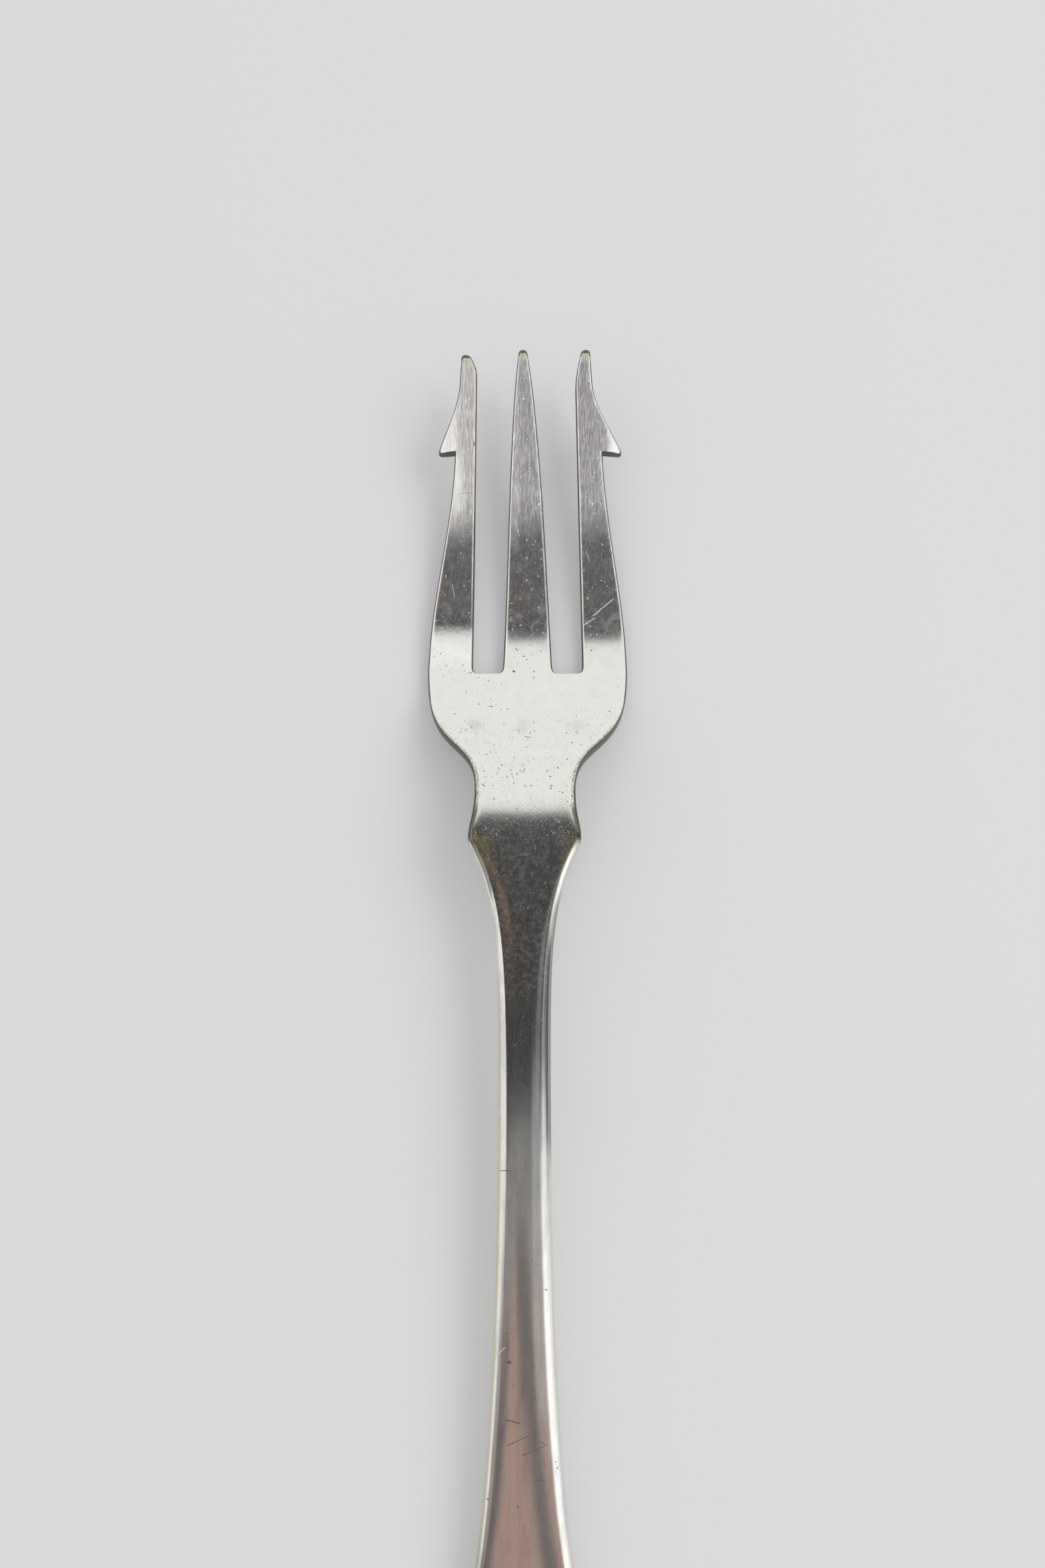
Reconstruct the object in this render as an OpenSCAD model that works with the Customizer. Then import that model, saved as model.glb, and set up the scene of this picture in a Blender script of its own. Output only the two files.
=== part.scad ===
// Pickle fork: one forged piece with a long handle, a shallow bowl and three tines,
// the outer two with a barb on the outside. All sizes are in millimetres.
// X runs across the fork, Y along it towards the tips, and Z up from the table.
// The origin lies on the table under the middle of the fork.

/* [Handle outline] */
// Length from the end of the handle to the corners of the shoulder
handle_l = 101.6; // [92:0.1:120]
// Width of the handle where it is widest, near its end
end_w = 13.2; // [11:0.1:16]
// Length of the round end, up to the widest place
end_l = 17.5; // [13:0.1:22]
// Width halfway down the flare between the end and the shank
flare_w = 8.4; // [7:0.1:10]
// Distance of that place from the end of the handle
flare_l = 38.5; // [32:0.1:46]
// Width of the shank where it is slimmest
shank_w = 4.68; // [3.8:0.02:6]
// Length of the swell from the slimmest place to the shoulder
swell_l = 25.6; // [18:0.1:32]
// Width across the corners of the shoulder
shoulder_w = 10.5; // [9:0.1:12.5]

/* [Neck and bowl outline] */
// Width of the neck where it is narrowest
neck_w = 9.3; // [7.5:0.1:10.4]
// Length from the corners of the shoulder to the narrowest place
neck_l = 5.1; // [3.5:0.1:8]
// Width across the bowl, where the tines begin
bowl_w = 19.3; // [17:0.1:23]
// Length from the narrowest place of the neck to the bottoms of the slots
bowl_l = 13.6; // [10:0.1:18]

/* [Tines] */
// Length of the tines from the bottoms of the slots
tine_l = 32.6; // [29:0.1:40]
// Width across the outer tines, just below the barbs
span_w = 15; // [14:0.1:17]
// Width of the middle tine at its root
mid_root_w = 4.84; // [4:0.02:5.4]
// Width of the middle tine where its point begins
mid_neck_w = 1.7; // [1.2:0.02:2.4]
// Length of the point of the middle tine
mid_point_l = 3.4; // [2:0.1:6]
// How far the tip of the middle tine leans to the left
mid_lean = 0.3; // [0:0.05:0.6]
// Width of the slots at their bottoms
slot_w = 2.9; // [2.4:0.05:3.2]
// Radius in the corners of the slots
slot_r = 0.7; // [0.3:0.05:0.8]
// How much closer together the inner sides of the outer tines stand at their tips
draw_in = 0.5; // [0:0.05:0.8]
// Length that wear has taken off the left tine
left_worn = 0.5; // [0:0.1:2]
// How much slimmer the left tine is below its barb
left_slim = 0.45; // [0:0.05:0.5]
// Radius of the blunted tips, seen from above
tip_r = 0.32; // [0.15:0.01:0.34]

/* [Barbs] */
// Distance from the tips back to the undersides of the barbs
barb_back = 10.1; // [9:0.1:14]
// How far the right barb stands out from its tine
barb_reach = 2.1; // [1.2:0.05:2.6]
// How much of the left barb has worn away
barb_worn = 0.3; // [0:0.05:0.8]
// How far the nose of a barb hooks back towards the handle
barb_hook = 0.3; // [0:0.02:0.5]
// Radius of the nose of a barb, seen from above
barb_nose = 0.42; // [0.2:0.02:0.5]
// Share of the reach of a barb where its top stays level
barb_flat = 0.28; // [0:0.02:0.6]
// Slope of the top of a barb from there to its nose, in degrees
barb_fall = 16; // [0:1:20]
// Length of the hollow curve from a barb to the straight tip
barb_l = 6.8; // [5:0.1:7.5]
// Width of the outer tines where that curve ends
point_w = 1.76; // [1.4:0.02:2]
// Length of the slanting cut inside the right tip
cut_l = 3.6; // [1.5:0.1:5]
// Width that the slanting cut takes off the right tip
cut_w = 0.72; // [0.2:0.02:0.8]
// Length of the worn cut inside the left tip
worn_cut_l = 1.7; // [0.6:0.1:3]
// Width that the worn cut takes off the left tip
worn_cut_w = 0.78; // [0.2:0.02:0.84]

/* [Bend to the right] */
// How far the head stands to the right of the handle's line at the bottoms of the slots
root_sway = 0.3; // [0:0.05:0.6]
// How far the tips stand to the right of the handle's line
tip_sway = 0.15; // [0:0.05:0.6]

/* [Side view] */
// Height of the top of the neck, the highest place behind the tines
crest_h = 7.4; // [5:0.1:9]
// How much lower the corners of the shoulder lie
shoulder_drop = 0.12; // [0:0.02:0.6]
// Height of the top of the tips above the table
tip_h = 6.9; // [4:0.1:9]
// Slope of the tines at their tips, in degrees
tip_slope = 12.5; // [8:0.5:16]
// Slope of the fork at the bottoms of the slots, in degrees
root_slope = 1; // [0:0.1:2]
// Slope of the handle near its end, in degrees
end_slope = 4; // [2:0.1:5]
// Slope of the handle just behind the shoulder, in degrees
shoulder_slope = 2.2; // [0.5:0.1:3]

/* [Thickness] */
// Thickness at the end of the handle
end_t = 1.75; // [1.4:0.05:2.4]
// Thickness on the flare of the handle
flare_t = 2.1; // [1.7:0.05:2.8]
// Thickness of the slimmest part of the shank
shank_t = 2.9; // [2.3:0.05:3.6]
// Thickness at the shoulder
shoulder_t = 2.3; // [1.8:0.05:3]
// Thickness of the bowl at the roots of the tines
bowl_t = 1.5; // [1.2:0.05:2]
// Thickness of the tines at their tips
tip_t = 1; // [0.8:0.05:1.3]

/* [Edges and crown] */
// Radius of the top edges of the shank and the handle
handle_r = 0.85; // [0.3:0.05:1]
// Radius of the top edges of the neck
neck_r = 0.45; // [0.25:0.05:0.6]
// Radius of the edges at the roots of the tines
root_r = 0.34; // [0.12:0.02:0.4]
// Radius of the edges at the tips of the tines
point_r = 0.26; // [0.08:0.02:0.3]
// How far the top of the handle falls from its middle to its sides
crown = 0.38; // [0.1:0.02:0.6]

/* [Hidden] */

// Distances along the fork, from the end of the handle
slim_d = handle_l - swell_l;
crest_d = handle_l + neck_l;
root_d = crest_d + bowl_l;
full_l = root_d + tine_l;
// Distance of the barbs from the bottoms of the slots
barb_at = tine_l - barb_back;

// Half width of the blunt strip that closes the end of the handle
end_flat = 0.3;
// Power of the curve that the top of the handle follows from its middle to its sides
crown_power = 2.6;
// Shares of the crown that are left at the end of the handle and on the neck
end_crown = 0.6;
neck_crown = 0.15;
// Radius of the end of the handle in the side view, as a share of its thickness
end_round = 0.3;
// Largest share of a section's width or thickness that an edge radius takes
edge_share = 0.46;
// How hard each curve of the outline holds its first and its last direction, as shares
// of its length, from the end of the handle to the bowl
end_hold = [0.62, 0.5];
flare_hold = [0.36, 0.38];
taper_hold = [0.27, 0.18];
swell_hold = [0.58, 0.25];
neck_hold = [0.36, 0.56];
bowl_hold = [0.4, 0.68];
// Directions of the outline where the flare is half as wide, and at the shoulder
flank = [-0.165, 1];
shoulder_run = [0.48, 0.88];
// Width that the tip of an outer tine loses past the curve of the barb
point_taper = 0.2;
// Slope of an outer tine just below its barb
span_slope = -0.03;
// Slope of the outside of a barb at its nose, as a share of its mean slope
nose_slope = 1.4;
// Length of the barb, in nose radii, that leans back towards the handle
hook_run = 3;
// Largest share of a section's width at which the top of a barb starts to slope
fold_share = 0.85;
// Radius and depth of the small hollow that runs into the underside of a barb
hollow_r = 0.3;
hollow_depth = 0.15;
// Distance in which the underside of a barb steps out
barb_start = 0.02;
// Power of the curve of the slanting cuts inside the tips
cut_power = 1.4;
// Flat left on each side of the round tip of the middle tine
mid_tip_flat = 0.08;
// Steps in a quarter circle on the top and the bottom edges
top_steps = 4;
under_steps = 3;
// Sections along each curve of the outline, from the end of the handle to the bowl
outline_steps = [14, 6, 9, 14, 6, 15];
// Sections at the roots, along the middle tine, below and past a barb, on the nose
// of a barb and on the round tips
root_steps = 4;
mid_count = 18;
below_count = 9;
past_count = 12;
nose_steps = 3;
tip_count = 4;

// Value at distance d on a smooth curve through rows of distance, value and slope
function along(rows, d, i = 0) =
    i + 2 < len(rows) && d > rows[i + 1][0] ? along(rows, d, i + 1) :
    let (a = rows[i], b = rows[i + 1], l = b[0] - a[0], s = (d - a[0]) / l)
    a[1] * (2 * s ^ 3 - 3 * s ^ 2 + 1) + b[1] * (3 * s ^ 2 - 2 * s ^ 3)
    + l * a[2] * (s ^ 3 - 2 * s ^ 2 + s) + l * b[2] * (s ^ 3 - s ^ 2);

// The same rows from pairs of distance and value, with a smooth slope at each
function mean_slope(p, i) = (p[i + 1][1] - p[i][1]) / (p[i + 1][0] - p[i][0]);
function smooth(p) = let (n = len(p) - 1) [
    for (i = [0:n]) let (a = mean_slope(p, max(i - 1, 0)), b = mean_slope(p, min(i, n - 1)))
        [p[i][0], p[i][1], a * b > 0 ? (a + b) / 2 : 0]
];

// Depth of a quarter circle of radius r at distance e from where it starts
function corner(r, e) = e >= r ? 0 : r - sqrt(r ^ 2 - (r - e) ^ 2);

// Points of a cubic curve from a to b that leaves along u and arrives along v
function curve(a, b, u, v, n) = [
    for (i = [0:n - 1]) let (t = i / n)
        (1 - t) ^ 3 * a + 3 * (1 - t) ^ 2 * t * (a + u) + 3 * (1 - t) * t ^ 2 * (b - v) + t ^ 3 * b
];

// Height of the top, thickness, edge radius, crown and bend to the right along the fork
top_rows = [
    [0, end_t, tan(end_slope)],
    [handle_l, crest_h - shoulder_drop, tan(shoulder_slope)],
    [crest_d, crest_h, 0],
    [root_d, bowl_t, tan(root_slope)],
    [full_l, tip_h, tan(tip_slope)]
];
thick_rows = smooth([
    [0, end_t],
    [flare_l, flare_t],
    [slim_d, shank_t],
    [handle_l, shoulder_t],
    [root_d, bowl_t],
    [full_l, tip_t]
]);
edge_rows = smooth([
    [0, handle_r],
    [slim_d, handle_r],
    [crest_d, neck_r],
    [root_d, root_r],
    [full_l, point_r]
]);
crown_rows = smooth([
    [0, crown * end_crown],
    [slim_d, crown],
    [crest_d, crown * neck_crown],
    [root_d, 0],
    [full_l, 0]
]);
sway_rows = [
    [0, 0, 0],
    [handle_l, 0, 0],
    [root_d, root_sway, 0],
    [full_l, tip_sway, (tip_sway - root_sway) / tine_l]
];

function top_at(d) = along(top_rows, d);
function slope_at(d) = (top_at(d + 0.01) - top_at(d - 0.01)) / 0.02;
function thick_at(d) = along(thick_rows, d) * sqrt(1 + slope_at(d) ^ 2);

// One cross-section between xl and xr at distance d, as points from the left side over
// the top to the right side and back along the bottom. The shares place the points
// between the rounded edges, and rim is what a rounded end has taken off top and bottom.
function section(xl, xr, d, shares, rim = 0) =
    let (
        t = thick_at(d) - 2 * rim,
        zt = top_at(d) - rim,
        zb = zt - t,
        r = min(along(edge_rows, d), edge_share * (xr - xl), edge_share * t),
        xm = (xl + xr) / 2,
        h = (xr - xl) / 2,
        c = along(crown_rows, d),
        fall = function(x) c * abs((x - xm) / h) ^ crown_power,
        lean = atan(c * crown_power * (1 - r / h) ^ (crown_power - 1) / h),
        in = r * (1 - sin(lean)),
        zc = zt - fall(xr - in) - r * cos(lean)
    )
    concat(
        [for (i = [0:top_steps]) let (a = 90 - (90 - lean) * i / top_steps)
            [xl + r - r * sin(a), d, zc + r * cos(a)]],
        [for (s = shares) let (x = xl + in + s * (xr - xl - 2 * in)) [x, d, zt - fall(x)]],
        [for (i = [0:top_steps]) let (a = lean + (90 - lean) * i / top_steps)
            [xr - r + r * sin(a), d, zc + r * cos(a)]],
        [for (i = [0:under_steps]) let (a = 90 * i / under_steps)
            [xr - r + r * cos(a), d, zb + r - r * sin(a)]],
        [for (i = [len(shares) - 1:-1:0]) let (x = xl + r + shares[i] * (xr - xl - 2 * r))
            [x, d, zb]],
        [for (i = [0:under_steps]) let (a = 90 * i / under_steps)
            [xl + r - r * sin(a), d, zb + r - r * cos(a)]]
    );

// Half outline of the handle, the neck and the bowl, as rows of half width and distance
half_outline = concat(
    curve([end_flat, 0], [end_w / 2, end_l],
        [end_hold[0] * end_w / 2, 0], [0, end_hold[1] * end_l], outline_steps[0]),
    curve([end_w / 2, end_l], [flare_w / 2, flare_l],
        [0, flare_hold[0] * (flare_l - end_l)], flare_hold[1] * (flare_l - end_l) * flank,
        outline_steps[1]),
    curve([flare_w / 2, flare_l], [shank_w / 2, slim_d],
        taper_hold[0] * (slim_d - flare_l) * flank, [0, taper_hold[1] * (slim_d - flare_l)],
        outline_steps[2]),
    curve([shank_w / 2, slim_d], [shoulder_w / 2, handle_l],
        [0, swell_hold[0] * swell_l], swell_hold[1] * swell_l * shoulder_run, outline_steps[3]),
    curve([shoulder_w / 2, handle_l], [neck_w / 2, crest_d],
        [0, neck_hold[0] * neck_l], [0, neck_hold[1] * neck_l], outline_steps[4]),
    curve([neck_w / 2, crest_d], [bowl_w / 2, root_d],
        [0, bowl_hold[0] * bowl_l], [0, bowl_hold[1] * bowl_l], outline_steps[5]),
    [[bowl_w / 2, root_d]]
);

// Places on the root section where the flat tops of the tines end beside the slots
inner_root = mid_root_w / 2 + slot_w;
flat_half = bowl_w / 2 - root_r;
outer_flat = (inner_root - slot_r + root_r) / flat_half;
inner_flat = (mid_root_w / 2 + slot_r - root_r) / flat_half;
body_shares = [
    0.2 * (1 - outer_flat),
    (1 - outer_flat) / 2,
    (1 - inner_flat) / 2,
    0.5,
    (1 + inner_flat) / 2,
    (1 + outer_flat) / 2,
    1 - 0.2 * (1 - outer_flat)
];

body_rings = [
    for (p = half_outline)
        section(-p[0], p[0], p[1], body_shares, corner(end_round * end_t, p[1]))
];

// Edges of a tine at distance s from the slot bottoms. An outer tine has length l and its
// side is at line just below the barb, which reaches out from there. The slanting cut
// inside its tip has width cut and length cut_run.
function root_fillet(s) = corner(slot_r, s);
function point_r_of(cut) = min(tip_r, edge_share * (point_w - point_taper - cut));
point_x = inner_root - draw_in + point_w;
function outer_edge(s, line, reach) =
    s <= barb_at
    ? along([[0, bowl_w / 2, 0], [barb_at, line, span_slope]], s)
    : let (nose_x = line + reach, end_slant = -point_taper / (barb_back - barb_l))
    along([
        [barb_at, nose_x, nose_slope * (point_x - nose_x) / barb_l],
        [barb_at + barb_l, point_x, end_slant],
        [tine_l, point_x - point_taper, end_slant]
    ], s);
function inner_edge(s, l, cut, cut_run) =
    inner_root - draw_in * s / tine_l - root_fillet(s)
    + cut * (max(0, s - l + cut_run) / cut_run) ^ cut_power;
mid_rows = smooth([
    [0, mid_root_w / 2],
    [tine_l - mid_point_l, mid_neck_w / 2],
    [tine_l, tip_r + mid_tip_flat]
]);
function mid_half(s) = root_fillet(s) + along(mid_rows, s);

// Distances of the cross-sections of a tine from the slot bottoms
function round_steps(r, n) = [for (i = [1:n]) r * (1 - cos(90 * i / n))];
function even_steps(a, b, n) = [for (i = [1:n]) a + (b - a) * i / (n + 1)];
function tip_steps(l, r) = [for (i = [tip_count:-1:0]) l - r * (1 - cos(90 * i / tip_count))];
mid_steps = concat(
    round_steps(slot_r, root_steps),
    even_steps(slot_r, tine_l - tip_r, mid_count),
    tip_steps(tine_l, tip_r)
);
function outer_steps(l, r) = concat(
    round_steps(slot_r, root_steps),
    even_steps(slot_r, barb_at - hollow_r, below_count),
    even_steps(barb_at - hollow_r, barb_at, 2),
    [barb_at, barb_at + barb_start],
    [for (e = round_steps(barb_nose, nose_steps)) barb_at + barb_start + e],
    even_steps(barb_at + barb_start + barb_nose, l - r, past_count),
    tip_steps(l, r)
);

// A cross-section of an outer tine, side -1 for the left and 1 for the right. Outside the
// line of the tine the barb leans back towards the handle, and past its level strip its
// top slopes down.
function outer_section(side, s, l, line, reach, cut, cut_run) =
    let (
        tip = corner(point_r_of(cut), l - s),
        past = s - barb_at,
        nose = past > 0 ? corner(barb_nose, past) : 0,
        hollow = past > 0 ? 0 : hollow_depth / hollow_r * corner(hollow_r, -past),
        xo = outer_edge(s, line, reach) - nose + hollow - tip,
        xi = inner_edge(s, l, cut, cut_run) + tip,
        hook = past > 0 ? barb_hook * max(0, 1 - past / (hook_run * barb_nose)) : 0,
        level = line + barb_flat * reach,
        fold = past > 0 ? min(max((level - xi) / (xo - xi), 0.5), fold_share) : 0.5,
        d = root_d + s,
        middle = top_at(d) - thick_at(d) / 2
    )
    [for (p = section(min(side * xi, side * xo), max(side * xi, side * xo),
                      d, [side > 0 ? fold : 1 - fold], corner(point_r, l - s)))
        let (x = abs(p[0]), drop = tan(barb_fall) * max(0, x - level))
        p - [0, hook * max(0, x - line) / reach, past > 0 && p[2] > middle ? drop : 0]];
function mid_section(s) =
    let (h = mid_half(s) - corner(tip_r, tine_l - s), x = -mid_lean * (s / tine_l) ^ 2)
    section(x - h, x + h, root_d + s, [0.5], corner(point_r, tine_l - s));

left_l = tine_l - left_worn;
function left_ring(s) = outer_section(
    -1, s, left_l, span_w / 2 - left_slim, barb_reach - barb_worn, worn_cut_w, worn_cut_l);
function right_ring(s) = outer_section(1, s, tine_l, span_w / 2, barb_reach, cut_w, cut_l);
tine_rings = [
    [for (s = concat(0, outer_steps(left_l, point_r_of(worn_cut_w)))) left_ring(s)],
    [for (s = concat(0, mid_steps)) mid_section(s)],
    [for (s = concat(0, outer_steps(tine_l, point_r_of(cut_w)))) right_ring(s)]
];

// Where the points of a body section lie in its list: the right top edge, the right bottom
// edge, the left bottom edge, and share i on the top and on the bottom
top_n = top_steps + 1;
under_n = under_steps + 1;
share_n = len(body_shares);
right_top = top_n + share_n;
right_under = right_top + top_n;
left_under = right_under + under_n + share_n;
body_n = left_under + under_n;
function on_top(i) = top_n + i;
function on_under(i) = left_under - 1 - i;

// The first section of each tine lies in the last section of the body. It takes the body's
// own points, except the rounded edges beside the slots, which are new and marked -1.
function span(a, n) = [for (i = [0:n - 1]) a + i];
function new_points(n) = [for (i = [1:n]) -1];
tine_starts = [
    concat(
        span(0, top_n), on_top(0), on_top(1), new_points(top_n - 1),
        new_points(under_n - 1), on_under(1), on_under(0), span(left_under, under_n)
    ),
    concat(
        new_points(top_n - 1), on_top(2), on_top(3), on_top(4), new_points(top_n - 1),
        new_points(under_n - 1), on_under(4), on_under(3), on_under(2), new_points(under_n - 1)
    ),
    concat(
        new_points(top_n - 1), on_top(5), on_top(6), span(right_top, top_n),
        span(right_under, under_n), on_under(6), on_under(5), new_points(under_n - 1)
    )
];

// All points: the body's sections, then for each tine the new points of its first section
// and the points of the others
function flat(lists) = [for (l = lists) for (p = l) p];
function rest(list) = [for (i = [1:len(list) - 1]) list[i]];
function tine_points(t) = concat(
    [for (j = [0:len(tine_starts[t]) - 1]) if (tine_starts[t][j] < 0) tine_rings[t][0][j]],
    flat(rest(tine_rings[t]))
);
points_of_tines = [for (t = [0:2]) tine_points(t)];
raw_points = concat(flat(body_rings), flat(points_of_tines));
lowest = min([for (p = raw_points) p[2]]);
points = [for (p = raw_points) p + [along(sway_rows, p[1]), -full_l / 2, -lowest]];

// The same sections as lists of point numbers
body_index = [for (k = [0:len(body_rings) - 1]) span(k * body_n, body_n)];
function first_point(t) =
    len(body_rings) * body_n + (t > 0 ? len(points_of_tines[0]) : 0)
    + (t > 1 ? len(points_of_tines[1]) : 0);
function new_before(list, j) = len([for (i = [0:1:j - 1]) if (list[i] < 0) i]);
function tine_index(t) =
    let (
        starts = tine_starts[t],
        root = (len(body_rings) - 1) * body_n,
        base = first_point(t),
        n = len(starts),
        own = new_before(starts, n)
    )
    concat(
        [[for (j = [0:n - 1]) starts[j] < 0 ? base + new_before(starts, j) : root + starts[j]]],
        [for (k = [1:len(tine_rings[t]) - 1]) span(base + own + (k - 1) * n, n)]
    );
tines_index = [for (t = [0:2]) tine_index(t)];

// Triangles between two sections, over the last section of a tine, and on a slot bottom,
// whose left and right sides are the edges of two tines from the top down
function skin(a, b) = let (n = len(a))
    [for (j = [0:n - 1]) let (k = (j + 1) % n) each [[a[j], b[j], b[k]], [a[j], b[k], a[k]]]];
function skins(rings) = [for (k = [0:len(rings) - 2]) each skin(rings[k], rings[k + 1])];
function front_cap(a) = [for (j = [1:len(a) - 2]) [a[0], a[j], a[j + 1]]];
function back_cap(a) = [for (j = [1:len(a) - 2]) [a[0], a[j + 1], a[j]]];
function ladder(a, b) =
    [for (i = [0:len(a) - 2]) each [[a[i], a[i + 1], b[i + 1]], [a[i], b[i + 1], b[i]]]];
function right_side(a) = [for (j = span(top_n + 1, top_n + under_n)) a[j]];
function left_side(a) = let (n = len(a))
    [for (j = span(1 - top_n, top_n + under_n)) a[(n - j) % n]];
function last(list) = list[len(list) - 1];
triangles = concat(
    front_cap(body_index[0]),
    skins(body_index),
    flat([for (t = tines_index) concat(skins(t), back_cap(last(t)))]),
    ladder(right_side(tines_index[0][0]), left_side(tines_index[1][0])),
    ladder(right_side(tines_index[1][0]), left_side(tines_index[2][0]))
);

// The whole fork is one skin over these sections
module pickle_fork() {
    color("silver") polyhedron(points, triangles);
}

pickle_fork();
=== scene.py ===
from math import radians

import bpy
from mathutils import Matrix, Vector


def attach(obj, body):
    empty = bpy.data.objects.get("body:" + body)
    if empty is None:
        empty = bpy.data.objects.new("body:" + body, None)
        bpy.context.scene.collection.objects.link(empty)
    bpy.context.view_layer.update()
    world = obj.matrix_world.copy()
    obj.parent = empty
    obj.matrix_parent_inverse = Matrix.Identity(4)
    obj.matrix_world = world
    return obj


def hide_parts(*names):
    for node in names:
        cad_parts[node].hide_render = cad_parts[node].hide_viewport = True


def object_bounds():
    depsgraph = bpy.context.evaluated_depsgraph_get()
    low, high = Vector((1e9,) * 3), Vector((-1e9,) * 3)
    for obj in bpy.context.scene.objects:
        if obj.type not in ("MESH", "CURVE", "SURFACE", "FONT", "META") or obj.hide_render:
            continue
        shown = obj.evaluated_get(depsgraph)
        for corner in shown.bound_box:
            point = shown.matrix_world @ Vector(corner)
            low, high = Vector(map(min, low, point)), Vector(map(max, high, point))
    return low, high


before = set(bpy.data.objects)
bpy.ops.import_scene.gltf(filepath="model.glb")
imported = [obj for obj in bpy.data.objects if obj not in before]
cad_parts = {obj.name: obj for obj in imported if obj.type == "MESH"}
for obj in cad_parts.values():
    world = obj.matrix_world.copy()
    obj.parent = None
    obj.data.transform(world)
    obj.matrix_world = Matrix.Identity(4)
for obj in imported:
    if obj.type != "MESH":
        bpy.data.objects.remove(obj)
cad_box = [list(corner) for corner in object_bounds()]

MM = 0.001

# Lengths of the tines, the bowl and the neck in millimetres, as in the part's source
TINE_L = 32.6
BOWL_L = 13.6
NECK_L = 5.1
# How much shorter wear has made the left tine
LEFT_WORN = 0.5

# Places along the fork in millimetres, from the middle of its length
TIP_Y = cad_box[1][1] / MM
ROOT_Y = TIP_Y - TINE_L
SHOULDER_Y = ROOT_Y - BOWL_L - NECK_L
# Where the barbs are, and where the brushed points of the tines begin
BARB_Y = 66.5
POINT_Y = 57

# Fine scratches: angle from +X in degrees, length, gap, width, share of them kept, and shift
HAIRLINES = [
    (80, 2.6, 0.16, 0.016, 0.30, (3, 1, 0)),
    (-72, 2.0, 0.18, 0.016, 0.25, (11, 5, 0)),
    (38, 1.4, 0.20, 0.014, 0.20, (2, 17, 0)),
    (-25, 1.5, 0.20, 0.014, 0.15, (23, 9, 0)),
]
# Bright scratches that stand out, as start, end and half width in millimetres
SCRATCHES = [
    ((5.41, 48.6), (6.9, 49.6), 0.05),
    ((6.7, 49.8), (8.69, 51.5), 0.05),
    ((-2.36, -20.4), (-1.67, -19.85), 0.07),
    ((-0.89, 59.5), (-0.5, 57.8), 0.035),
    ((5.0, 56.2), (5.65, 56.75), 0.035),
    ((6.05, 56.35), (6.37, 55.35), 0.03),
    ((-7.08, 53.0), (-6.8, 51.65), 0.03),
]
# Dark dashes, dents and dots, in the same form
DASHES = [
    ((-2.2, -4.84), (-1.2, -4.9), 0.05),
    ((-1.66, -25.8), (-0.41, -26.1), 0.05),
    ((0.88, -30.74), (1.72, -30.74), 0.06),
    ((-1.5, -27.9), (0.3, -27.15), 0.04),
    ((0.3, -27.15), (1.9, -27.9), 0.04),
    ((-0.2, -28.7), (1.6, -28.0), 0.045),
    ((-1.5, -21.14), (-1.2, -21.1), 0.15),
    ((-0.18, 31.6), (0.07, 32.15), 0.05),
    ((0.0, 36.05), (0.55, 35.8), 0.06),
    ((4.38, 35.25), (4.55, 35.2), 0.09),
    ((-3.95, 30.5), (-3.65, 30.25), 0.06),
    ((-0.9, 46.45), (-0.6, 46.2), 0.04),
    ((-0.15, 45.6), (0.0, 45.65), 0.06),
    ((-6.5, 62.0), (-5.5, 62.2), 0.03),
    ((-5.0, 67.3), (-4.98, 66.8), 0.09),
]
# Clusters of pits: middle, half size and soft edge across the fork, the same along it, and share
CLUSTERS = [
    ((-0.7, 0.9, 0.9), (37.0, 0.8, 0.7), 0.35),
    ((-3.3, 0.4, 0.6), (40.3, 0.6, 0.6), 0.25),
]

# Colours of the silver plate, bright and worn, with painted highlights on the left tine's flank
# and the barbs' noses
SILVER = (0.86, 0.85, 0.82, 1)
GREYER_SILVER = (0.82, 0.81, 0.78, 1)
BRUSHED_GREY = (0.72, 0.73, 0.735, 1)
BRUSHED_WHITE = (1.0, 1.0, 1.0, 1)
WORN_GREY = (0.70, 0.69, 0.68, 1)
# Cream of brushed wear, and also a painted highlight along the left tine's left flank
WORN_CREAM = (1.0, 0.985, 0.94, 1)
# Painted highlight on the noses of the barbs
RUBBED_WHITE = (1.0, 0.995, 0.975, 1)
STREAK_GREY = (0.62, 0.60, 0.57, 1)
SMUDGE_GREY = (0.56, 0.55, 0.54, 1)
SHANK_GREY = (0.48, 0.47, 0.45, 1)
# Colours of its tarnish, tips and rims, with painted shade on the head's walls and on the handle's
# left rim
OLIVE_EDGE = (0.36, 0.34, 0.24, 1)
OLIVE_BLACK = (0.13, 0.125, 0.075, 1)
OLIVE_PATCH = (0.80, 0.72, 0.40, 1)
YELLOW_RIM = (0.78, 0.70, 0.42, 1)
CREAM_RIM = (0.95, 0.91, 0.76, 1)
PALE_RIM = (0.84, 0.82, 0.76, 1)
DARK_RIM = (0.30, 0.29, 0.26, 1)
# Painted shade: the yellow left rim low on the handle, darkened where it mirrors the floor's
# shadow
BRASSY_RIM = (0.50, 0.45, 0.29, 1)
# A darker colour on the sloping right side of the shank
DULL_SIDE = (0.34, 0.33, 0.30, 1)
# Painted shade on the handle's left rim low down
DULL_RIM = (0.30, 0.28, 0.26, 1)
# Tarnish on the head's walls, darkened further as painted shade for their dark outline
BLACK_WALL = (0.10, 0.092, 0.068, 1)
TIP_GREY = (0.62, 0.61, 0.50, 1)
TIP_LINE = (0.15, 0.14, 0.06, 1)
TIP_END = (0.52, 0.48, 0.36, 1)
PIT_BLACK = (0.10, 0.09, 0.08, 1)
# The greatest roughness of the bright metal, and the roughness of the hazy one
MOST_ROUGH = 0.6
HAZY_ROUGH = 0.6

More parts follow.
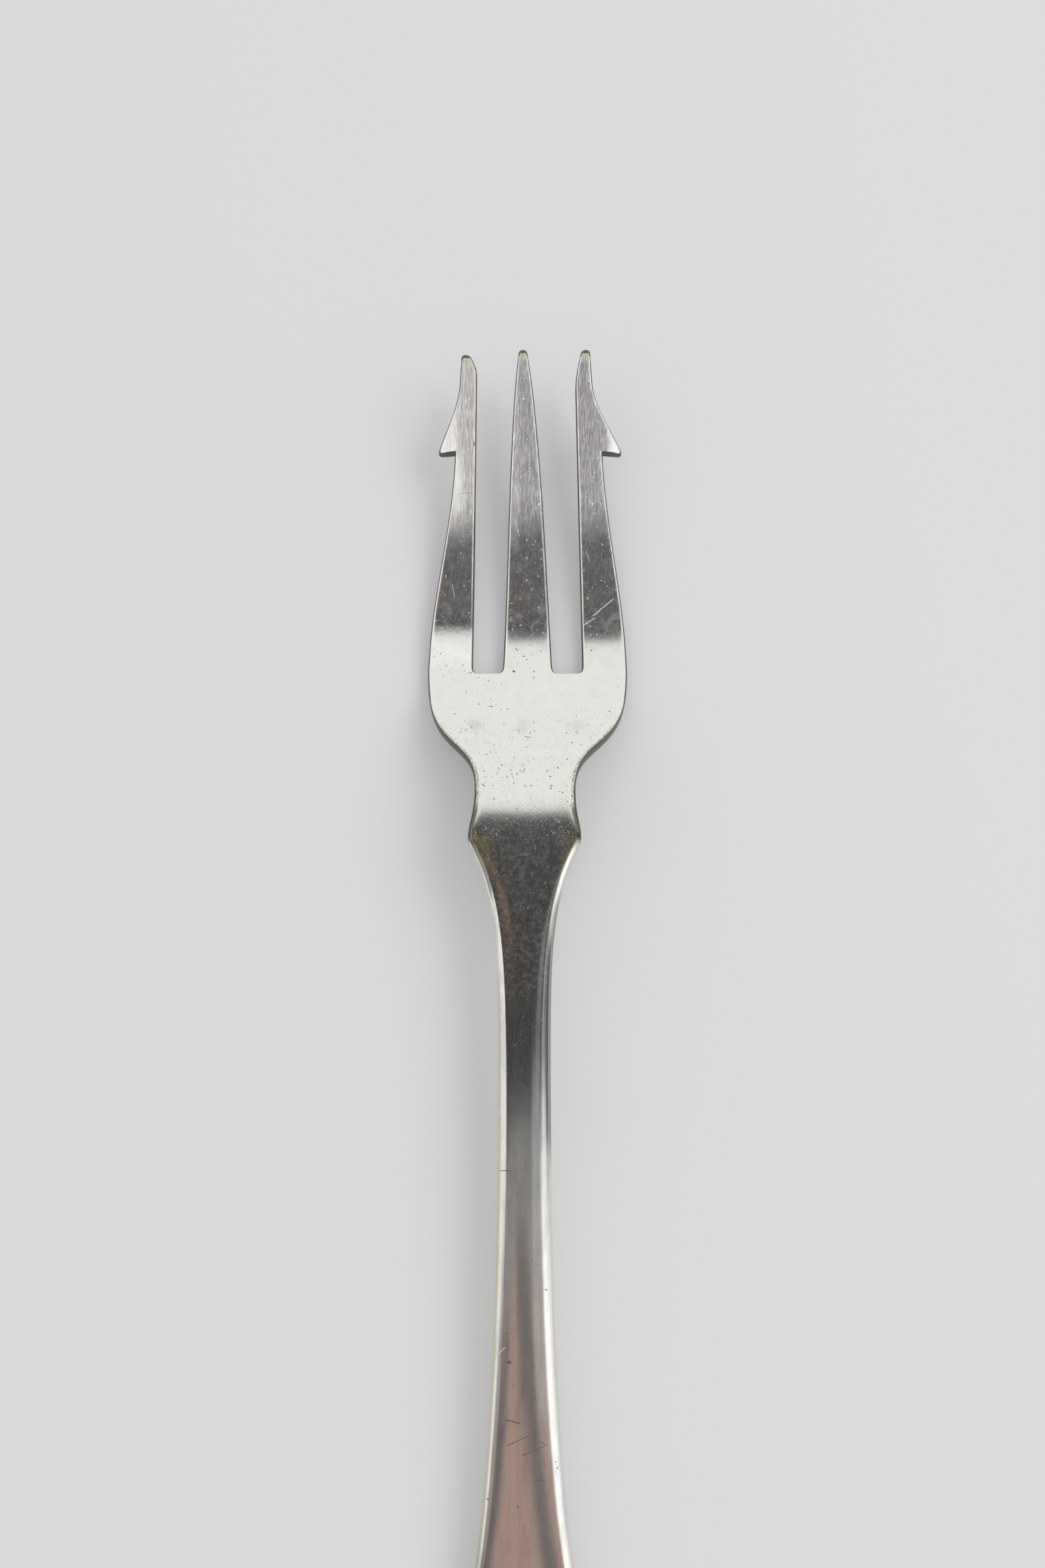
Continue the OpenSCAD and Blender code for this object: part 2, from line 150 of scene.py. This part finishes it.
# The room's colours, as the metal reflects them
DARK = (0.052, 0.051, 0.05, 1)
GREY = (0.30, 0.295, 0.29, 1)
PINK = (0.42, 0.295, 0.255, 1)
SHADOW = (0.17, 0.155, 0.155, 1)
DIM_STRIPE = (0.17, 0.17, 0.17, 1)
HALF_STRIPE = (0.45, 0.45, 0.45, 1)
SOFT_STRIPE = (0.50, 0.50, 0.51, 1)
ORANGE = (0.46, 0.21, 0.14, 1)
BEHIND = (0.6, 0.58, 0.56, 1)
PALE = (0.92, 0.92, 0.91, 1)
WINDOW = (1.25, 1.25, 1.24, 1)
SHANK_DARK = (0.17, 0.17, 0.165, 1)
# The room's plain light on all else, and its white behind the floor
PLAIN = (0.78, 0.78, 0.79, 1)
WHITE = (1, 1, 1, 1)

# The floor's size in metres, its colour, and the little light that keeps its shadows shallow
FLOOR_SIZE = 6.0
FLOOR_GREY = (0.47, 0.473, 0.48, 1)
FLOOR_GLOW = (0.985, 0.99, 1.0, 1)
FLOOR_GLOW_STRENGTH = 0.215

# The lamp's place and size in metres, its power in watts, and its colour
LAMP_AT = (0.62, 0.12, 0.75)
LAMP_SIZE = (0.70, 0.60)
LAMP_POWER = 3.8
LAMP_COLOUR = (1.0, 0.99, 0.97)

# The camera's place in millimetres, its tilt in degrees, and its lens and sensor in millimetres
CAMERA_AT = (-0.19, -36.60, 198.9)
CAMERA_TILT = 19.3
LENS = 50.51
SENSOR = 36


class Wire:
    """A socket that can be reckoned with: each operator adds a Math node."""

    def __init__(self, tree, socket):
        self.tree, self.socket = tree, socket

    def __add__(self, other):
        return self.tree.math("ADD", self, other)

    def __sub__(self, other):
        return self.tree.math("SUBTRACT", self, other)

    def __rsub__(self, other):
        return self.tree.math("SUBTRACT", other, self)

    def __mul__(self, other):
        return self.tree.math("MULTIPLY", self, other)

    def __truediv__(self, other):
        return self.tree.math("DIVIDE", self, other)

    def __pow__(self, other):
        return self.tree.math("POWER", self, other)

    def __abs__(self):
        return self.tree.math("ABSOLUTE", self)

    __radd__ = __add__
    __rmul__ = __mul__

    def rise(self, low, high):
        """0 below low and 1 above high, smooth between; high may be the lower one."""
        values = {"Value": self, "From Min": low, "From Max": high}
        return self.tree.node("ShaderNodeMapRange", {"interpolation_type": "SMOOTHSTEP"}, values)

    def band(self, middle, half, soft):
        """1 within half of middle, falling to 0 over soft."""
        return abs(self - middle).rise(half + soft, half)

    def drawn(self, share):
        """1 for about that share of the lots, which go from 0 to 1, and 0 for the others."""
        return (self + share).rise(0.99, 1.01)


class Tree:
    """The node tree of a material or of the world."""

    def __init__(self, owner):
        owner.use_nodes = True
        self.nodes, self.links = owner.node_tree.nodes, owner.node_tree.links
        self.nodes.clear()

    def node(self, kind, settings, values, out=0):
        """A node of the kind with its settings and values, as the wire of one of its outputs."""
        made = self.nodes.new(kind)
        for name, value in settings.items():
            setattr(made, name, value)
        for key, value in values.items():
            if isinstance(value, Wire):
                self.links.new(value.socket, made.inputs[key])
            else:
                made.inputs[key].default_value = value
        return Wire(self, made.outputs[out]) if made.outputs else None

    def math(self, operation, *values):
        return self.node("ShaderNodeMath", {"operation": operation}, dict(enumerate(values)))

    def most(self, *values):
        top = values[0]
        for value in values[1:]:
            top = self.math("MAXIMUM", top, value)
        return top

    def mix(self, share, first, second):
        """The second colour over the first; 0, 6, 7 and 2 are a colour mix's own sockets."""
        values = {0: share, 6: first, 7: second}
        return self.node("ShaderNodeMix", {"data_type": "RGBA"}, values, out=2)

    def layers(self, colour, *coats):
        """The colour under coats, each a share and a colour, the last one on top."""
        for share, coat in coats:
            colour = self.mix(share, colour, coat)
        return colour

    def vector(self, operation, first, second, key=1):
        values = {0: first, key: second}
        return self.node("ShaderNodeVectorMath", {"operation": operation}, values)

    def split(self, vector):
        return [self.node("ShaderNodeSeparateXYZ", {}, {0: vector}, out=i) for i in range(3)]

    def noise(self, place, scale, detail=2.0, roughness=0.5, out=0):
        values = {"Vector": place, "Scale": scale, "Detail": detail, "Roughness": roughness}
        return self.node("ShaderNodeTexNoise", {}, values, out)

    def cells(self, place, scale, out="Distance"):
        """Cells about points strewn at random: the distance to the nearest, or its colour."""
        values = {"Vector": place, "Scale": scale, "Randomness": 1.0}
        return self.node("ShaderNodeTexVoronoi", {"feature": "F1"}, values, out)

    def turned(self, place, angle, size, shift=(0, 0, 0)):
        """The place in cells of the size in millimetres, turned about Z, for what runs one way."""
        turn = (0, 0, radians(angle))
        values = {"Vector": place, "Location": shift, "Rotation": turn, "Scale": size}
        return self.node("ShaderNodeMapping", {"vector_type": "TEXTURE"}, values)

    def lengthwise(self, place, angle, size, detail, roughness):
        """Noise drawn out along the angle, in cells of the size in millimetres."""
        return self.noise(self.turned(place, angle, (*size, 1.0)), 1.0, detail, roughness)

    def hairlines(self, place, angle, length, gap, width, share, shift):
        """Fine scratches of about the given length, running at the angle from +X."""
        wobble = self.noise(place, 0.35, 1.0)
        sway = self.node("ShaderNodeCombineXYZ", {}, {1: wobble})
        lane = self.turned(place, angle, (length, gap, length), shift)
        lane = self.vector("ADD", lane, self.vector("SCALE", sway, 0.9, key="Scale"))
        lot = self.split(self.cells(lane, 1.0, out="Color"))[0]
        ridge = abs(self.noise(lane, 1.3, 1.0) - 0.5)
        return ridge.rise(width, width * 0.3) * lot.drawn(share)

    def mark(self, x, y, start, end, half):
        """A scratch of half width half from start to end, in millimetres."""
        dx, dy = end[0] - start[0], end[1] - start[1]
        length = (dx * dx + dy * dy) ** 0.5
        ux, uy = dx / length, dy / length
        along = (x - start[0]) * ux + (y - start[1]) * uy
        across = (x - start[0]) * -uy + (y - start[1]) * ux
        ends = abs(along - length / 2).rise(length / 2 + half, length / 2 - half)
        return abs(across).rise(half, half * 0.3) * ends

    def dots(self, place, often, least, most):
        """The lots of round spots, and the spots; often is how many there are in 1 mm."""
        far = self.cells(place, often) / often
        lot = self.split(self.cells(place, often, out="Color"))
        size = least + (most - least) * lot[1] ** 3
        return lot[0], (far / size).rise(1.0, 0.5)

    def crooked(self, place, scale, reach):
        """The place pushed about by noise, for shapes that aren't round."""
        push = self.noise(place, scale, 1.0, out="Color")
        push = self.vector("SUBTRACT", push, (0.5, 0.5, 0.5))
        return self.vector("ADD", place, self.vector("SCALE", push, reach, key="Scale"))


class Plate:
    """The silver plate's nodes, with the zones, patterns, edges and marks that its looks share.

    Places and lengths are in millimetres, x to the right and y from the handle to the tips.
    """

    def __init__(self, material):
        self.t = t = Tree(material)
        place = t.node("ShaderNodeTexCoord", {}, {}, out="Object")
        self.place = t.vector("SCALE", place, 1 / MM, key="Scale")
        self.x, self.y = t.split(self.place)[:2]
        self.normal = t.split(t.node("ShaderNodeTexCoord", {}, {}, out="Normal"))
        self.aside, self.facing = abs(self.normal[0]), self.normal[2]
        self.add_zones()
        self.add_patterns()
        self.add_edges()
        self.add_scratches()
        self.add_pits()

    def add_zones(self):
        """Where along the fork a place is."""
        x, y = self.x, self.y
        self.on_left = x.rise(-3.0, -4.0)
        self.on_tines = y.rise(ROOT_Y + 1, ROOT_Y + 8)
        self.on_points = y.rise(POINT_Y, POINT_Y + 5)
        self.left_tine = self.on_left * y.rise(ROOT_Y + 12, ROOT_Y + 20)
        self.on_head = y.rise(SHOULDER_Y - 0.4, SHOULDER_Y + 0.4)
        self.on_neck = y.band(31, 5.0, 3.0)
        self.on_handle = y.rise(SHOULDER_Y - 4, SHOULDER_Y - 30)
        self.behind_tip = TIP_Y - y - LEFT_WORN * self.on_left

    def add_patterns(self):
        """Noise that runs along the fork, and noise that is alike all ways."""
        t, place = self.t, self.place
        self.brush = t.lengthwise(place, 89, (1.8, 0.10), 3.0, 0.7)
        self.strokes = t.lengthwise(place, 86, (1.0, 0.11), 3.0, 0.6).rise(0.42, 0.64)
        self.streaks = t.lengthwise(place, 90, (16.0, 0.3), 2.0, 0.6)
        self.smudges = t.lengthwise(place, 88, (3.6, 0.8), 4.0, 0.6)
        self.blotch = t.noise(place, 0.9, 4.0, 0.65)
        self.mottle = t.noise(place, 2.2, 4.0, 0.7)
        self.grain = t.noise(place, 5.0, 2.0, 0.6)
        self.brushed = t.most(self.left_tine, 0.6 * self.on_points) * self.brush.rise(0.35, 0.7)

    def add_edges(self):
        """The walls, the tips, the left tine's flank and the barbs' noses, where highlights are
        painted, and the corners of the shoulder.
        """
        t, x, y = self.t, self.x, self.y
        upright = self.facing + 0.16 * y.band(35.5, 4.5, 1.5) + 0.2 * (1 - self.on_head)
        self.wall = upright.rise(0.86, 0.74)
        self.tip = self.behind_tip.rise(1.5, 0.8)
        # The left tine's left flank, where a highlight is painted
        self.flank = (x + 0.1 * (y - 60)).rise(-5.2, -6.4)
        # The noses of the barbs, where a highlight is painted
        right = (x - 0.45 * (y - BARB_Y)).rise(7.9, 8.7) * y.rise(BARB_Y + 4, BARB_Y + 1)
        left = (x + 0.25 * (y - BARB_Y)).rise(-7.9, -8.15) * y.rise(BARB_Y + 3, BARB_Y + 1.5)
        self.nose = t.most(right, left) * y.rise(BARB_Y - 2.5, BARB_Y - 1.5)
        sides = t.most(x.rise(-2.2, -3.6), 0.8 * x.rise(3.0, 4.2))
        on_top = y.band(23.6, 1.4, 1.2) * self.facing.rise(0.94, 0.98)
        self.corners = sides * on_top * self.blotch.rise(0.3, 0.45)

    def add_scratches(self):
        """Hairlines, thickest on the tines, and the scratches and dashes that stand out."""
        t, x, y = self.t, self.x, self.y
        hair = t.most(*[t.hairlines(self.place, *lines) for lines in HAIRLINES])
        self.hair = hair * (0.15 + 0.30 * self.on_tines)
        self.cuts = t.most(*[t.mark(x, y, *scratch) for scratch in SCRATCHES])
        self.dashes = t.most(*[t.mark(x, y, *dash) for dash in DASHES])

    def add_pits(self):
        """Small pits, mostly on the bowl and the neck, and small bright dents on the tines."""
        t = self.t
        crooked = t.crooked(self.place, 5.0, 0.35)
        clump = t.noise(self.place, 0.22).rise(0.42, 0.62)
        often = (0.07 + 0.22 * clump) * (0.3 + 0.7 * self.on_head)
        often = often + (0.25 + 0.4 * clump) * self.on_neck
        for across, along, share in CLUSTERS:
            often = often + share * self.x.band(*across) * self.y.band(*along)
        lot, large = t.dots(crooked, 3.2, 0.03, 0.12)
        small_lot, small = t.dots(crooked, 6.0, 0.03, 0.05)
        large = large * lot.drawn(often)
        small = small * small_lot.drawn(often * 0.8)
        self.pits = t.most(large, small) * (1 - self.on_tines)
        stretched = t.vector("MULTIPLY", crooked, (1.0, 0.65, 1.0))
        lot, dents = t.dots(stretched, 3.4, 0.03, 0.10)
        self.dents = dents * lot.drawn(0.02 + 0.50 * self.on_tines)


def rim_colour(p):
    """The handle's edge: yellow on the left, pale on the right, darker in places, and with painted
    shade on the left low down.
    """
    t, left, right = p.t, p.x.rise(-1.0, -2.0), p.x.rise(1.0, 2.0)
    return t.layers(
        t.mix(p.x.rise(-1.0, 1.0), YELLOW_RIM, PALE_RIM),
        (p.x.rise(1.0, -1.0) * p.y.rise(9, 15), CREAM_RIM),
        (0.8 * right * p.y.band(8, 9.5, 4), DARK_RIM),
        # Painted shade on the left rim low down, where it mirrors the floor's shadow
        (0.8 * left * p.y.rise(-25, -45), BRASSY_RIM),
    )


def metal_colour(p):
    """Silver pale where it was brushed, with tarnish, painted highlights on the tine's flank and
    the barbs' noses, and painted shade on walls and a rim.
    """
    t, x, y = p.t, p.x, p.y
    stroke = t.mix(p.brush.rise(0.38, 0.62), BRUSHED_GREY, BRUSHED_WHITE)
    # The left tine: cream where it is brushed, and a painted highlight along its left flank
    pale = t.mix(t.most(p.flank, p.brush.rise(0.45, 0.7)), WORN_GREY, WORN_CREAM)
    neck_edge = p.aside.rise(0.08, 0.2) * p.on_neck
    shoulder_edge = p.aside.rise(0.05, 0.15) * y.band(SHOULDER_Y + 1.4, 1.2, 1.2)
    dull_side = p.facing.rise(0.95, 0.85) * x.rise(1.0, 2.0) * y.band(8.5, 9.5, 3)
    # The handle's left rim low down, where shade is painted
    dull_rim = p.facing.band(0.70, 0.25, 0.04) * x.rise(-1.0, -2.0) * y.rise(-30, -48)
    worn_side = x.band(-5.0, 0.6, 0.2) * p.normal[0].rise(0.0, 0.1)
    tip_edge = t.most(p.behind_tip.rise(0.8, 0.6), worn_side * p.behind_tip.rise(1.8, 1.5))
    tip_line = t.most(p.facing.rise(0.95, 0.88) * tip_edge, p.behind_tip.rise(0.48, 0.40))
    tip_end = p.normal[1].rise(0.80, 0.88) * p.behind_tip.rise(0.5, 0.3)
    return t.layers(
        t.mix(p.blotch.rise(0.3, 0.75), SILVER, GREYER_SILVER),
        (0.9 * p.on_points, stroke),
        (0.9 * p.left_tine, pale),
        # Painted highlight on the noses of the barbs
        (p.nose, RUBBED_WHITE),
        (0.15 * p.on_handle * p.streaks.rise(0.45, 0.7), STREAK_GREY),
        (0.45 * p.on_handle * p.smudges.rise(0.42, 0.72), SMUDGE_GREY),
        (0.85 * neck_edge * p.grain.rise(0.3, 0.6), OLIVE_EDGE),
        (0.9 * shoulder_edge, OLIVE_BLACK),
        (0.85 * p.corners, OLIVE_PATCH),
        (0.9 * p.wall * (1 - p.on_head), rim_colour(p)),
        (0.7 * dull_side, DULL_SIDE),
        # Painted shade on the handle's left rim low down
        (0.75 * dull_rim, DULL_RIM),
        (0.35 * y.band(14, 10, 4) * p.smudges.rise(0.4, 0.65), SHANK_GREY),
        # Tarnish and painted shade on the head's walls, for their dark outline
        (0.95 * p.wall * p.on_head, BLACK_WALL),
        (0.6 * p.tip, TIP_GREY),
        (0.95 * tip_line, TIP_LINE),
        (0.8 * tip_end, TIP_END),
        (0.85 * t.most(p.pits, p.dashes), PIT_BLACK),
    )


def metal_roughness(p):
    """Smooth where the silver is bright, rougher where it is brushed, dull or marked."""
    t = p.t
    dull_zone = t.most(p.y.band(56, 6, 3), 0.5 * p.y.band(22, 2.5, 3))
    rough = 0.055 + 0.03 * p.blotch + 0.05 * p.streaks * p.on_handle
    rough = rough + 0.08 * p.blotch.rise(0.40, 0.70) * dull_zone
    rough = rough + 0.12 * p.left_tine + 0.12 * p.on_points + 0.10 * p.brushed
    rough = rough + 0.30 * t.most(p.wall, p.tip, p.cuts, p.pits, p.dashes)
    return t.math("MINIMUM", rough, MOST_ROUGH)


def haze_share(p):
    """The share of the metal that wear has made matt and pale."""
    t, x, y = p.t, p.x, p.y
    haze = p.on_tines * (0.06 + 0.06 * p.strokes) + p.on_points * (0.04 + 0.18 * p.strokes)
    haze = haze + p.left_tine * (0.14 + 0.30 * p.flank + 0.16 * p.brush.rise(0.45, 0.65))
    # The shank and the shoulder
    haze = haze + y.band(14, 12, 5) * (0.004 + 0.03 * p.strokes * p.smudges.rise(0.3, 0.7))
    specks = p.grain.rise(0.52, 0.70) * p.mottle.rise(0.38, 0.58)
    haze = haze + y.band(18.5, 6.0, 4) * (0.04 * p.mottle.rise(0.44, 0.62) + 0.05 * specks)
    haze = haze + 0.05 * p.corners
    # Scratches, dents, the barbs' noses under their painted highlight, and the light edges of the
    # tines
    dents = p.dents * (0.55 + 0.3 * p.on_points) * (0.12 + 0.88 * p.on_tines)
    haze = t.most(haze, 0.17 * p.hair, dents, 0.35 * p.cuts, 0.6 * p.nose)
    edges = p.aside.band(0.30, 0.16, 0.08) * y.rise(47, 54)
    haze = t.most(haze, 0.7 * edges * (0.5 + 0.5 * p.strokes))
    # The light streak on the left of the middle tine, and the white root of the left tine
    haze = haze + 0.14 * x.band(-1.1, 0.3, 0.5) * y.rise(55, 60) * p.behind_tip.rise(1.0, 2.0)
    root = (y + 1.2 * p.grain).rise(49.8, 48.0) * y.rise(44.0, 45.5)
    return t.most(haze, 0.75 * x.rise(-4.0, -4.8) * root)


def metal_height(p):
    """Heights in millimetres: slow waves, grain, brushing, scratches and pits."""
    height = p.t.noise(p.place, 0.18) * (0.003 + 0.004 * p.on_handle)
    height = height + p.t.noise(p.place, 0.6) * (0.0005 + 0.0006 * p.on_handle)
    height = height + 0.0022 * p.on_handle * p.smudges + (0.00012 + 0.0004 * p.on_neck) * p.grain
    height = height + 0.0006 * p.brushed - 0.0008 * p.hair - 0.003 * p.cuts - 0.002 * p.dashes
    height = height - 0.008 * p.pits * (0.4 + 0.6 * p.on_head) - 0.003 * p.dents * p.on_tines
    return height - 0.003 * p.wall * p.blotch


def silver_plate():
    """Worn silver plate: bright metal, and matt metal where wear has made it hazy."""
    material = bpy.data.materials.new("worn_silver_plate")
    p = Plate(material)
    bump = {"Strength": 1.0, "Distance": MM, "Height": metal_height(p)}
    values = {"Base Color": metal_colour(p), "Normal": p.t.node("ShaderNodeBump", {}, bump)}
    clear = {**values, "Metallic": 1.0, "Roughness": metal_roughness(p)}
    hazy = {**values, "Metallic": 0.0, "Roughness": HAZY_ROUGH}
    shares = {
        0: haze_share(p),
        1: p.t.node("ShaderNodeBsdfPrincipled", {}, clear),
        2: p.t.node("ShaderNodeBsdfPrincipled", {}, hazy),
    }
    surface = p.t.node("ShaderNodeMixShader", {}, shares)
    p.t.node("ShaderNodeOutputMaterial", {}, {"Surface": surface})
    return material


def smooth_fork():
    """The fork's solid as a smooth skin: a merged copy of the CAD node, in quads, subdivided."""
    bpy.ops.object.select_all(action="DESELECT")
    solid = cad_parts["pickle_fork"]
    solid.select_set(True)
    bpy.context.view_layer.objects.active = solid
    bpy.ops.object.duplicate()
    fork = bpy.context.object
    fork.name = "silver_fork"
    bpy.ops.object.mode_set(mode="EDIT")
    bpy.ops.mesh.select_all(action="SELECT")
    bpy.ops.mesh.customdata_custom_splitnormals_clear()
    bpy.ops.mesh.remove_doubles(threshold=0.002 * MM)
    bpy.ops.mesh.tris_convert_to_quads(face_threshold=radians(70), shape_threshold=radians(180))
    bpy.ops.mesh.select_all(action="DESELECT")
    bpy.ops.object.mode_set(mode="OBJECT")
    modifier = fork.modifiers.new("smooth", "SUBSURF")
    modifier.levels = modifier.render_levels = 2
    bpy.ops.object.modifier_apply(modifier="smooth")
    bpy.ops.object.shade_smooth_by_angle(angle=radians(40))
    fork.data.materials.clear()
    fork.data.materials.append(silver_plate())
    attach(fork, "root")
    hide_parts("pickle_fork")
    return fork


def table_top():
    """A plain pale floor, far wider than the view."""
    bpy.ops.object.select_all(action="DESELECT")
    bpy.ops.mesh.primitive_plane_add(size=FLOOR_SIZE, location=(0, 0, 0))
    floor = bpy.context.object
    floor.name = "floor"
    material = bpy.data.materials.new("pale_floor")
    t = Tree(material)
    values = {
        "Base Color": FLOOR_GREY,
        "Roughness": 0.9,
        "Specular IOR Level": 0.0,
        "Emission Color": FLOOR_GLOW,
        "Emission Strength": FLOOR_GLOW_STRENGTH,
    }
    surface = t.node("ShaderNodeBsdfPrincipled", {}, values)
    t.node("ShaderNodeOutputMaterial", {}, {"Surface": surface})
    floor.data.materials.append(material)


def reflected_room(t):
    """The room by direction: pale far away, dark overhead, and pinkish behind the camera."""
    x, y, z = t.split(t.node("ShaderNodeTexCoord", {}, {}, out="Generated"))
    # Degrees up from straight ahead and over to behind, and degrees to the right; y alone is the
    # direction's part along the fork
    up = t.math("ARCTAN2", z, y) * (1 / radians(1))
    side = t.math("ARCSINE", x) * (1 / radians(1))

    far = up.rise(74.8, 73.8)
    overhead = up.rise(73.8, 74.8) * up.rise(87, 84)
    left = side.rise(-27.5, -33) * up.rise(90, 84)
    right = side.rise(17, 24) * up.rise(82, 88)
    behind = up.rise(100, 130) * side.rise(-40, -25)
    pink = up.rise(87.5, 90.5) * up.rise(108, 101) * abs(side).rise(42, 32)
    slant = (side - (up - 89) * 1.5).band(-2, 2.0, 5)
    shadow = t.most(slant, side.band(-20, 4, 6) * up.rise(88, 92))
    orange = side.band(-18, 9, 3.5) * y.band(0.196, 0.012, 0.007)
    shank_side = side.rise(24, 32) * y.band(0.20, 0.07, 0.03)
    return t.layers(
        t.mix(up.rise(84.1, 85.3), DARK, GREY),
        (pink, PINK),
        (shadow * up.rise(86, 89) * up.rise(112, 104), SHADOW),
        (side.band(15, 2.0, 2.5) * overhead, DIM_STRIPE),
        (side.rise(20, 28) * overhead, HALF_STRIPE),
        (side.rise(27, 33) * overhead, PALE),
        (0.6 * side.band(13, 4, 5) * up.band(88, 3, 3), SOFT_STRIPE),
        (0.9 * orange, ORANGE),
        (behind, BEHIND),
        (t.most(far, left), PALE),
        (right, WINDOW),
        (shank_side, SHANK_DARK),
    )


def room():
    """The room that the metal reflects, plain for all other light and white for the camera."""
    world = bpy.data.worlds.new("room")
    bpy.context.scene.world = world
    t = Tree(world)
    glossy = t.node("ShaderNodeLightPath", {}, {}, out="Is Glossy Ray")
    seen = t.node("ShaderNodeLightPath", {}, {}, out="Is Camera Ray")
    colour = t.mix(seen, t.mix(glossy, PLAIN, reflected_room(t)), WHITE)
    light = t.node("ShaderNodeBackground", {}, {"Color": colour})
    t.node("ShaderNodeOutputWorld", {}, {"Surface": light})


def key_light():
    """A broad soft lamp from the right and a little ahead, aimed at the fork."""
    bpy.ops.object.light_add(type="AREA", location=LAMP_AT)
    lamp = bpy.context.object
    lamp.name = "key"
    lamp.data.shape = "RECTANGLE"
    lamp.data.size, lamp.data.size_y = LAMP_SIZE
    lamp.data.energy = LAMP_POWER
    lamp.data.color = LAMP_COLOUR
    lamp.visible_glossy = False
    lamp.rotation_euler = (-lamp.location).to_track_quat("-Z", "Y").to_euler()


def camera():
    """The photograph's view: from just above the handle, looking ahead and down."""
    place = [v * MM for v in CAMERA_AT]
    bpy.ops.object.camera_add(location=place, rotation=(radians(CAMERA_TILT), 0, 0))
    made = bpy.context.object
    made.data.lens = LENS
    made.data.sensor_width = SENSOR
    made.data.clip_start = 10 * MM
    bpy.context.scene.camera = made


camera()
table_top()
room()
key_light()
smooth_fork()
bpy.context.scene.view_settings.view_transform = "Standard"
